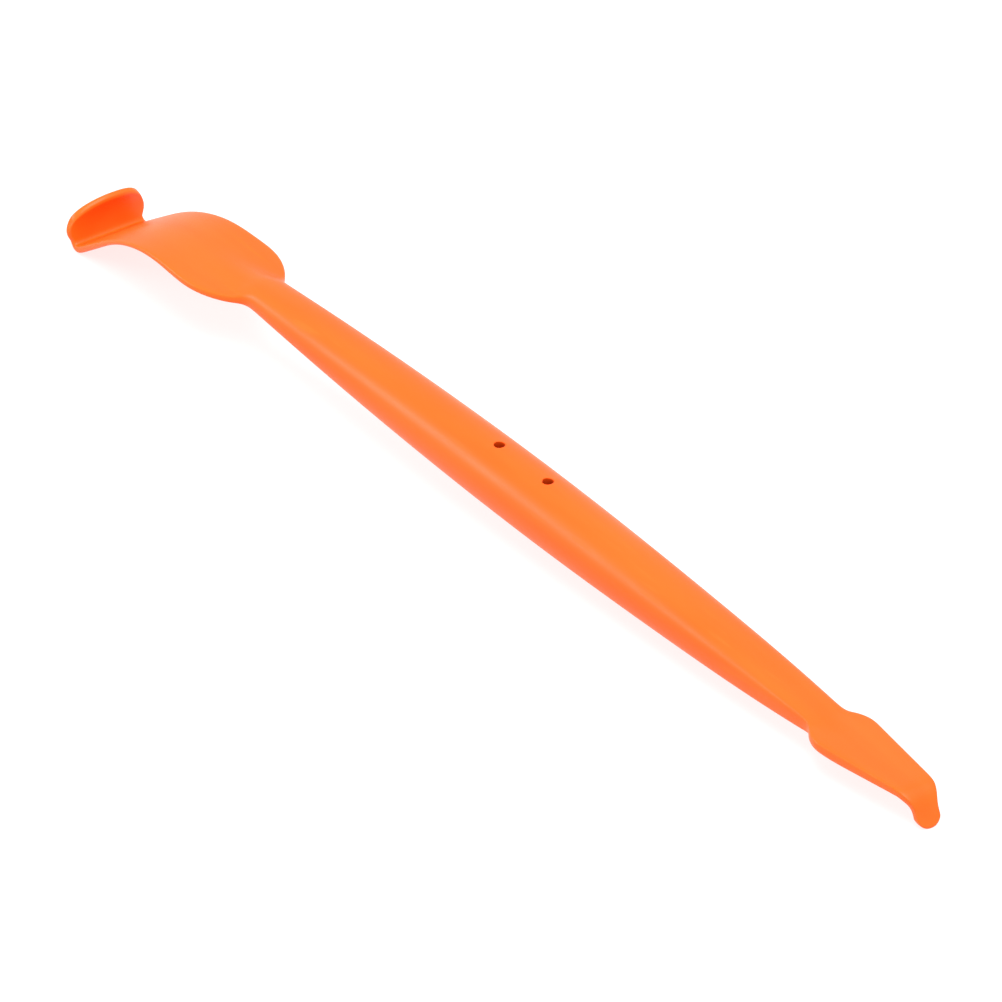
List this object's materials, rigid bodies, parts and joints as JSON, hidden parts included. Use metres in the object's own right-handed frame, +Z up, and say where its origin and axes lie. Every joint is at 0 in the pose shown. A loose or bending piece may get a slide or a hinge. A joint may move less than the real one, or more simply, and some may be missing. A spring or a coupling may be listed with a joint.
{
  "type": "film tucking stick",
  "caption": "Slim hand tool with a wide hooked paddle at one end, a small toed blade at the other and a spindle grip that hides a magnet.",
  "frame": {"origin": "on the surface that the tool lies on, under the middle of its length and width", "axes": "+X along the tool from the hooked paddle to the toed blade, +Y across it, +Z up from the surface"},
  "size_m": [0.2, 0.0152, 0.0126],
  "materials": {
    "moulding": "satin-gloss injection moulded polypropylene in signal orange, with a faint moulded grain",
    "magnet": "bright nickel plate on a sintered neodymium bar"
  },
  "bodies": {
    "root": {"tool_body": "moulding", "magnet": "magnet"}
  },
  "joints": []
}
